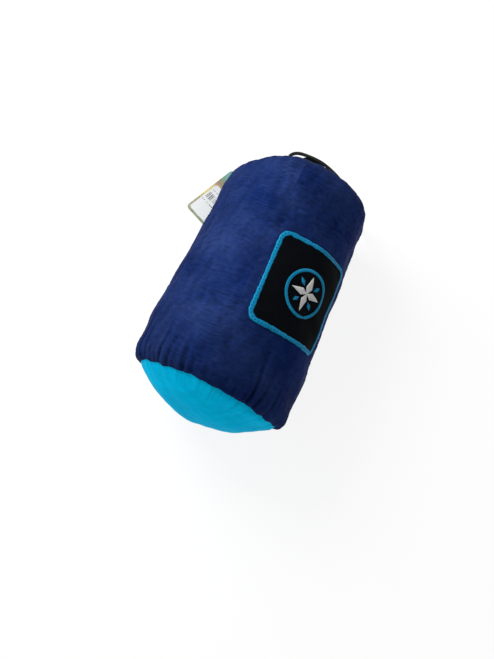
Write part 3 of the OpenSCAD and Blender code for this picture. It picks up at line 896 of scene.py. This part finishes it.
def make_mouth_hem():
    """The drawcord's channel, gathered into deep pleats; it is open where the cord's two ends leave it."""
    cols = 540
    x, angle = columns(cols)
    turn = pleat_turn(x)
    draw = np.random.default_rng(43)
    deep = draw.uniform(0.6, 1.0, PLEATS)[np.floor(turn).astype(int) % PLEATS]
    valley = (1 - np.abs(np.sin(math.pi * turn)) ** 0.6) * deep
    fold = np.linspace(0, 2 * math.pi, 40, endpoint=False)
    wide, tall = 3.9, 4.3
    cos, sin = np.cos(fold)[:, None], np.sin(fold)[:, None]
    box_r = np.sign(cos) * np.abs(cos) ** 0.6
    box_y = np.sign(sin) * np.abs(sin) ** 0.6
    outward = np.where(cos > 0, 1.9, 0.9)
    radius = HEM_R + box_r * (wide - outward * valley * np.abs(cos))
    frill = (0.5 * ripple(x, 0, 44, 8, 12, 50) - 1.1 * valley) * np.clip(sin, 0, 1)
    y = HEM_MID + box_y * tall + frill
    up_turn = (angle + math.pi) % (2 * math.pi) - math.pi
    slit = 1 - smooth((np.abs(up_turn) - CORD_GAP - 0.1) / 0.18)
    floor_y = HEM_MID - CORD_R - 0.6
    y = np.where(y > floor_y, y * (1 - slit) + (floor_y + 0.25 * box_y) * slit, y)
    verts = round_axis(angle, radius, y).reshape(-1, 3)
    # The seam allowance inside the hem, which closes the gaps between the two rows of pleats
    facing = fold[::4]
    facing_r = 15.4 + 3.7 * box_r[::4]
    facing_y = SACK_LEN - MOUTH_DEPTH - 2 + 0.4 * box_y[::4]
    verts = np.vstack([verts, round_axis(angle, facing_r, facing_y).reshape(-1, 3)])
    faces, uv = [], []
    for loop, first in ((fold, 0), (facing, len(fold) * cols)):
        faces.append(grid_faces(len(loop), cols, wrap_rows=True) + first)
        uv.append(grid_uv(x / 2, loop * 4, wrap_rows=True, x_period=GIRTH / 2, y_period=25))
    return new_piece("mouth_hem_gather", verts, np.vstack(faces), np.vstack(uv), navy_nylon)


# ---------- drawcord ----------

def from_hem(points):
    """Points given as [x, distance from the hem, height above the sack's axis]."""
    return np.asarray(points, float) + [0, HEM_MID + SEAM_Y, AXIS_Z]


# Where both tails leave the hem, the left one mirrored
TAIL_START = [[8.8, 0, 7.4], [7.4, 0.3, 9.1], [6, 1.4, 10.7], [5, 3.1, 11.8], [4.6, 5.3, 12.5]]
TAIL_LEFT = [
    [-6.6, 10, 13], [-14, 14.2, 13.5], [-21.3, 18.9, 14], [-23.8, 24.2, 14.5], [-18.5, 28.6, 15.2],
    [-8, 29.5, 15.5], [5.5, 28.4, 14.8], [21, 23.4, 12.2], [35.5, 16.5, 6], [47, 13.7, -5],
    [53, 14.9, -19.5], [55, 17, -34], [54.6, 19.6, -45], [52.8, 21.4, -53.2], [51, 22, -57.7],
    [46, 22, -58.7], [38, 22, -58.7], [28, 22, -58.7], [18, 22, -58.7], [9, 21.8, -60.2],
    [0, 21, -62], [-7, 20.7, -62.4], [-13.2, 21, -61.6]]
TAIL_RIGHT = [
    [2.4, 9.8, 13], [-3.6, 13.8, 13], [-10.3, 18, 12.8], [-13, 23.6, 12.4], [-9.3, 28.6, 12], [1.8, 28, 11.6],
    [16.5, 21.9, 10], [31.5, 14.5, 4], [42.5, 12.3, -7], [49.3, 13.7, -20], [51.6, 16.4, -33],
    [51.4, 19, -42], [50.4, 21.2, -49.3], [49, 22, -54], [44.5, 22, -55.3], [38, 22, -55.3], [28, 22, -55.3],
    [18, 22, -55.3], [9, 22.6, -57], [0, 24.2, -60], [-7, 24.9, -62.2], [-13.2, 24.6, -61.6]]
# The tag's string, in the frame's own millimetres
STRING = [
    [-6.5, 96.7, 57], [-7.6, 100, 56.2], [-10.6, 104, 52.6], [-14.5, 106.5, 44], [-19, 108, 34],
    [-25, 109, 24], [-33, 109.4, 15.5], [-42, 109.3, 9], [-50.3, 107.9, 5], [-57.5, 106.2, 3.6],
    [-62.7, 104.5, 3.3], [-65.4, 104.1, 2.7], [-66.4, 105.5, 1.3], [-65.5, 108.1, 0.8], [-63.4, 111.5, 0.9],
    [-60, 114.6, 1.6], [-55, 115.7, 3.2], [-47, 115.1, 6], [-38, 114.3, 11], [-29, 112.8, 18.5],
    [-21.5, 111, 28], [-16, 109.3, 38], [-11.5, 107, 46.5], [-8.5, 103.2, 51.5], [-6.8, 99.5, 53.8],
    [-6.5, 96.7, 54.4]]
LOCK_WIRE_R = 0.25
LOCK_SPRING_TURNS = 4
KNOT_Y = 22.8           # the knot's middle, from the hem


def make_drawcord():
    a = np.linspace(CORD_GAP, 2 * math.pi - CORD_GAP, 120)
    ring = round_axis(a, np.full_like(a, CORD_RING_R), HEM_MID)
    held = tube("drawcord_in_channel", ring, CORD_R, 14, black_cord)
    tails = []
    for name, route, side in (("drawcord_left", TAIL_LEFT, -1), ("drawcord_right", TAIL_RIGHT, 1)):
        in_knot = [[-15.6, KNOT_Y + 0.7 * side, -60.7], [-17.6, KNOT_Y + 0.2 * side, -60.2]]
        start = [[side * x, y, z] for x, y, z in TAIL_START]
        path = spline(from_hem(start + route + in_knot), 0.8)
        tails.append((tube(name, path, CORD_R, 16, black_cord), path))
    return held, tails


def make_knot():
    low, high = box_mm("drawcord_end_knot")
    middle = np.array([high[0] - 4.2, (low[1] + high[1]) / 2, 4.4])
    t = np.linspace(0, 2 * math.pi, 160)
    loops = np.column_stack([np.sin(t) + 2 * np.sin(2 * t), np.cos(t) - 2 * np.cos(2 * t),
                             -1.5 * np.sin(3 * t)])
    knot = tube("drawcord_knot", middle + loops * [1.15, 1.15, 1.0], 1.42, 14, black_cord)
    tips = []
    end = low[0] + 0.8
    for k, side in ((1, -1), (2, 1)):
        path = spline([[at, middle[1] + side * aside, height] for at, aside, height in (
            (middle[0] - 2, 1.2, 3.4), (middle[0] - 5.5, 2.0, 2.2),
            ((middle[0] + end) / 2 - 2, 2.4, 1.6), (end, 2.9, 1.55))], 0.5)
        radius = np.full(len(path), CORD_R)
        radius[-3:] = [1.5, 1.35, 1.05]
        tips.append(tube(f"drawcord_tip_{k}", path, radius, 14, black_cord, round_ends=True))
    return knot, tips


def make_lock_spring():
    """The coil in the cord lock, which the plunger presses closed; here it is made at its rest length and
    moves with the lock.
    """
    low, high = box_mm("cord_lock_spring")
    middle, length = (low + high) / 2, high[1] - low[1]
    coil_r = (high[0] - low[0]) / 2 - LOCK_WIRE_R
    t = np.linspace(0, 1, 24 * LOCK_SPRING_TURNS + 1)
    a = 2 * math.pi * LOCK_SPRING_TURNS * t
    path = np.column_stack([middle[0] + coil_r * np.cos(a),
                            low[1] + LOCK_WIRE_R + (length - 2 * LOCK_WIRE_R) * t,
                            middle[2] - coil_r * np.sin(a)])
    spring = tube("cord_lock_coil", path, LOCK_WIRE_R, 10, spring_steel, body="cord_lock")
    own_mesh(spring)
    return spring


# ---------- patch ----------

PATCH_BASE = 0.70       # height of the embroidery's foot above the sack's cloth
EMBLEM_R = 19


def on_side(u, v, height):
    """Points on the sack's side, u mm round it and v mm up it from the patch's middle."""
    x = PATCH_TURN * SACK_R + u * math.cos(PATCH_LEAN) - v * math.sin(PATCH_LEAN)
    y = PATCH_MID + u * math.sin(PATCH_LEAN) + v * math.cos(PATCH_LEAN)
    radius = side_radius(y) + lumps(x, y) + 0.25 + height
    return round_axis(x / SACK_R, radius, y)


def outward(path, close):
    """Directions to the right of a path on the patch."""
    ahead = unit(np.roll(path, -1, 0) - np.roll(path, 1, 0) if close else np.gradient(path, axis=0))
    return np.column_stack([ahead[:, 1], -ahead[:, 0]])


def ribbon(line, out, across, half, height, under):
    """Rows of points on the patch, to half mm each side of a line, and a row under the line."""
    u = line[:, 0] + out[:, 0] * across[:, None] * half
    v = line[:, 1] + out[:, 1] * across[:, None] * half
    return np.vstack([on_side(u, v, height), on_side(line[None, :, 0], line[None, :, 1], under)])


def round_top(across):
    return np.sqrt(np.clip(1 - across**2, 0, 1))[:, None]


def rounded_outline(width, height, corner, count):
    """Points evenly round a rounded rectangle, with their outward directions."""
    w, h = width / 2 - corner, height / 2 - corner
    pieces = []
    for cx, cy, start in ((w, h, 0), (-w, h, 90), (-w, -h, 180), (w, -h, 270)):
        a = np.radians(np.linspace(start, start + 90, 24))
        pieces.append(np.column_stack([cx + corner * np.cos(a), cy + corner * np.sin(a)]))
    path = np.vstack(pieces + [pieces[0][:1]])
    even, run = resample(path, path_length(path) / count)
    return even[:-1], outward(even[:-1], True), run[:-1]


def make_patch_field():
    count = 360
    edge, _, _ = rounded_outline(PATCH_W - 3, PATCH_H - 3, PATCH_ROUND - 1.5, count)
    rings = np.linspace(0, 1, 30)[1:]
    u, v = rings[:, None] * edge[:, 0], rings[:, None] * edge[:, 1]
    relief = 0.10 * ripple(u, v, 81, 20, 26, 20, DISC_PERIOD)
    high, low = PATCH_BASE + 0.05, 0.05
    top = on_side(u, v, high + relief)
    skirt = on_side(edge[None, :, 0], edge[None, :, 1], low)
    verts = np.vstack([top.reshape(-1, 3), skirt.reshape(-1, 3), on_side(0, 0, high), on_side(0, 0, low)])
    flat = np.vstack([np.stack([u, v], -1).reshape(-1, 2), edge, [0, 0], [0, 0]])
    start = len(rings) * count
    faces = grid_faces(len(rings) + 1, count, flip=True).tolist()
    faces += fan(start + count, 0, count) + fan(start + count + 1, start, count, flip=True)
    corners = np.concatenate([flat[f] for f in faces])
    return new_piece("patch_twill_field", verts, faces, corners, patch_twill)


def make_patch_border():
    """Merrowed edge: thick thread wrapped over the patch's rim, with a row of small stitch holes."""
    count = 1500
    line, out, run = rounded_outline(PATCH_W - PATCH_BORDER, PATCH_H - PATCH_BORDER,
                                     PATCH_ROUND - PATCH_BORDER / 2, count)
    around = path_length(np.vstack([line, line[:1]]))
    across = np.linspace(-1, 1, 17)
    wraps = round(around / 0.92)
    holes = round(around / 2.7)
    phase = run / around * 2 * math.pi
    ridge = np.abs(np.sin(0.5 * (phase[None, :] * wraps + across[:, None] * 1.4)))
    dent = np.exp(-((across[:, None] - 0.12) / 0.2) ** 2) * np.clip(np.cos(phase * holes), 0, 1)[None, :] ** 3
    crown = round_top(across) ** 0.7
    ragged = 0.12 * ripple(run, 0, 91, 20, 6, 50, around) + 0.10 * ripple(run, 0, 92, 6, 60, 50, around)
    half = PATCH_BORDER / 2 - 0.2 + ragged
    height = 0.15 + 1.0 * crown + 0.16 * ridge * crown - 0.45 * dent
    verts = ribbon(line, out, across, half, height, 0.0)
    rows = np.append(across * 2.1, 3.2)
    faces = grid_faces(len(rows), count, wrap_rows=True, flip=True)
    uv = grid_uv(run, rows, wrap_rows=True, flip=True, x_period=around, y_period=7.4)
    piece = new_piece("patch_merrowed_border", verts, faces, uv, border_thread)
    # Painted shade in the dents of the stitch holes
    shade_points(piece, "stitch", 1 - 0.9 * smooth(dent * 1.4))
    return piece


def satin(name, line, half_width, height, material, close=False, lift=0.0):
    """A column of satin stitch along a path on the patch, half_width mm to each side of it."""
    path, run = resample(line, STITCH / 4)
    if close:
        path, run = path[:-1], run[:-1]
    out = outward(path, close)
    half = np.interp(run / run[-1], np.linspace(0, 1, len(half_width)), half_width)
    across = np.linspace(-1, 1, 11)
    ridge = np.abs(np.sin(math.pi * run / STITCH))[None, :] * 0.5 + 0.5
    crown = round_top(across) ** 0.6
    rise = lift + height * crown * (0.72 + 0.28 * ridge) * np.minimum(1, half / 1.2)
    verts = ribbon(path, out, across, half, PATCH_BASE + rise, PATCH_BASE - 0.05)
    rows = np.append(across * 1.5, 2.5)
    n = len(run)
    faces = grid_faces(len(rows), n, wrap_cols=close, wrap_rows=True, flip=True).tolist()
    around = path_length(line)
    uv = grid_uv(run, rows, wrap_cols=close, wrap_rows=True, flip=True, x_period=around, y_period=6)
    uv = uv.reshape(-1, 2).tolist()
    if not close:
        for end, turn in ((0, 1), (n - 1, -1)):
            loop = [r * n + end for r in range(len(rows))][::turn]
            faces.append(loop)
            uv += [[run[end], rows[k // n]] for k in loop]
    return new_piece(name, verts, faces, uv, material)


def make_emblem():
    """A ring round four small diamonds and a four-pointed star."""
    a = np.linspace(0, 2 * math.pi, 241)
    half = 1.3
    ring = (EMBLEM_R - half) * np.column_stack([np.cos(a), np.sin(a)])
    made = [satin("emblem_ring", ring, [half, half], 0.75, blue_thread, close=True)]

    def ray(degrees, start, end, count):
        turn = math.radians(degrees)
        return np.linspace(start, end, count)[:, None] * [math.cos(turn), math.sin(turn)]

    middle = EMBLEM_R * 0.52
    for k in range(4):
        line = ray(45 + 90 * k, middle - 3.4, middle + 3.4, 20)
        made.append(satin(f"emblem_leaf_{k + 1}", line, [0.15, 1.7, 0.15], 0.7, blue_thread))
    for k in range(4):
        line = ray(90 * k, 0, EMBLEM_R * 0.72, 30)
        name, half = f"emblem_star_{k + 1}", [0.2, 2.9, 1.6, 0.15]
        made.append(satin(name, line, half, 0.8, white_thread, lift=0.02 * k))
    return made


# ---------- hammock ----------

roll_boxes = [box_mm("hammock_" + n) for n in ("side_panel_left", "side_panel_right", "main_panel")]
ROLL_LOW = min(low[1] for low, _ in roll_boxes)
ROLL_HIGH = max(high[1] for _, high in roll_boxes)
ROLL_R = 54.0
ROLL_TURNS = 5
ROLL_CORE = 9.4
ROLL_PITCH = (ROLL_R - ROLL_CORE) / ROLL_TURNS
ROLL_Z = 1.4 + ROLL_R
ROLL_FLOOR = 1.15       # the roll rests on the sack's cloth


def make_rolled_panel(name, layer, material):
    """One of the three cloth panels, folded flat and rolled up with the others."""
    per_turn = 120
    n = ROLL_TURNS * per_turn + 1
    a = np.arange(n) * 2 * math.pi / per_turn
    deep = ROLL_PITCH / 3
    inner = ROLL_CORE - ROLL_PITCH + layer * deep + ROLL_PITCH * a / (2 * math.pi)
    rows = np.linspace(0, 1, 44)
    run = a * inner
    length = ROLL_HIGH - ROLL_LOW
    y = rows[:, None] * length
    period = 4000.0         # longer than the rolled cloth
    crease = (0.55 * ripple(run, y, 101 + layer, 30, 17, 60, period)
              + 0.30 * ripple(run, y, 105 + layer, 30, 9, 22, period))
    last_turn = smooth((a - (ROLL_TURNS - 1.02) * 2 * math.pi) / 0.3)
    outer_r = inner + deep - 0.12 + np.where(crease > 0, crease * 0.15, crease) * (0.35 + 0.65 * last_turn)
    inner_r = inner + 0.15 + 0.25 * np.clip(crease, 0, 1)
    ends = smooth(1 - np.minimum(rows, 1 - rows) / 0.05)[:, None]
    ragged = (1.1 * ripple(run, 0, 111 + layer, 20, 30, 50, period)
              + 0.4 * ripple(run, 0, 121 + layer, 20, 12, 50, period) - 1.2)
    push = np.where(rows < 0.5, -1, 1)[:, None] * ends * ragged
    pinch = 0.3 * deep * ends * np.abs(np.sin(run / 4.5))
    outer_r, inner_r = outer_r - pinch, inner_r + pinch

    def points(radius):
        along = ROLL_LOW + y + push + 0 * radius
        return np.stack([radius * np.cos(a), along, ROLL_Z - radius * np.sin(a)], -1)

    both = np.concatenate([points(outer_r), points(inner_r)[:, ::-1]], axis=1)
    cols = both.shape[1]
    verts = both.reshape(-1, 3)
    verts[:, 2] = np.maximum(verts[:, 2], ROLL_FLOOR)
    x = np.concatenate([run, run[-1] + 3 + (run[-1] - run[::-1])])
    faces = grid_faces(len(rows), cols).tolist()
    uv = grid_uv(x, rows * length, x_period=x[-1] + 3).reshape(-1, 2).tolist()
    for row, flip in ((0, False), (len(rows) - 1, True)):
        start = row * cols
        for i in range(n - 1):
            face = [start + i, start + cols - 1 - i, start + cols - 2 - i, start + i + 1]
            pairs = [[x[i], -2], [x[i], 2], [x[i + 1], 2], [x[i + 1], -2]]
            faces.append(face[::-1] if flip else face)
            uv += pairs[::-1] if flip else pairs
    return new_piece(name, verts, faces, uv, material, body="hammock")


def make_gather_rope(side):
    node = "gather_rope_" + side
    low, high = box_mm(node)
    middle = (low + high) / 2
    rope_r = (high[0] - low[0]) / 2
    loop_r = (high[2] - low[2]) / 2 - rope_r
    bow = arc(high[1] - rope_r - loop_r, middle[2], loop_r, loop_r, -90, 90)
    legs = [[ROLL_HIGH - 3, middle[2] + up * (loop_r - 0.4)] for up in (-1, 1)]
    path = np.vstack([legs[:1], bow, legs[1:]])
    path = resample(np.column_stack([np.full(len(path), middle[0]), path]), 0.8)[0]
    rope = tube("hammock_rope_" + side, path, rope_r - 0.05, 20, black_rope, body="hammock")
    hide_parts(node)
    return rope


# ---------- put together ----------

add_camera()
add_stage()

creases_found = simulate_creases()

held_cord, tails = make_drawcord()
knot, tips = make_knot()
string_path = spline(STRING, 0.6)
string = tube("tag_string_loop", string_path, STRING_R, 10, string_thread, body="tag")

side = make_side_panel()
bottom = make_bottom_panel()
binding = make_seam_binding()
hem = make_mouth_hem()
field = make_patch_field()
border = make_patch_border()
emblem = make_emblem()

lock_spring = make_lock_spring()

for piece, node, slot in (
        (side, "sack_side_panel", "navy_nylon"), (bottom, "sack_bottom_panel", "cyan_nylon"),
        (binding, "bottom_seam_binding", "navy_nylon"), (hem, "mouth_hem", "navy_nylon"),
        (held_cord, "drawcord_in_hem", "black_cord"), (knot, "drawcord_end_knot", "black_cord"),
        (field, "patch_field", "patch_twill"), (border, "patch_border", "blue_thread"),
        (emblem[0], "patch_blue_embroidery", "blue_thread"),
        (emblem[5], "patch_white_embroidery", "white_thread"), (string, "tag_string", "tag_string"),
        (lock_spring, "cord_lock_spring", "spring_steel")):
    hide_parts(node)

lock_parts = [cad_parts["cord_lock_barrel"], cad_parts["cord_lock_plunger"], lock_spring]
for (tail, path), node, on_it in zip(tails, ("drawcord_tail_left", "drawcord_tail_right"),
                                     ([knot, *tips, *lock_parts], [])):
    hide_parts(node)
    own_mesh(tail)
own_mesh(string)

for piece in (side, bottom, binding, hem, held_cord, field, border, *emblem):
    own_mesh(piece)

for layer, (node, material, slot) in enumerate((
        ("hammock_side_panel_left", cyan_nylon, "cyan_nylon"),
        ("hammock_side_panel_right", cyan_nylon, "cyan_nylon"),
        ("hammock_main_panel", navy_nylon, "navy_nylon"))):
    rolled = make_rolled_panel(node.replace("hammock", "rolled"), layer, material)
    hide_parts(node)
for side_name in ("left", "right"):
    make_gather_rope(side_name)
    for part in ("frame", "gate", "rivet", "latch_pin"):
        dress(f"carabiner_{side_name}_{part}", bright_steel)
    dress(f"carabiner_{side_name}_spring", spring_steel)

dress("cord_lock_barrel", lock_plastic)
dress("cord_lock_plunger", lock_plastic)
dress("tag_card", printed_card())
dress("tag_sticker", barred_label())
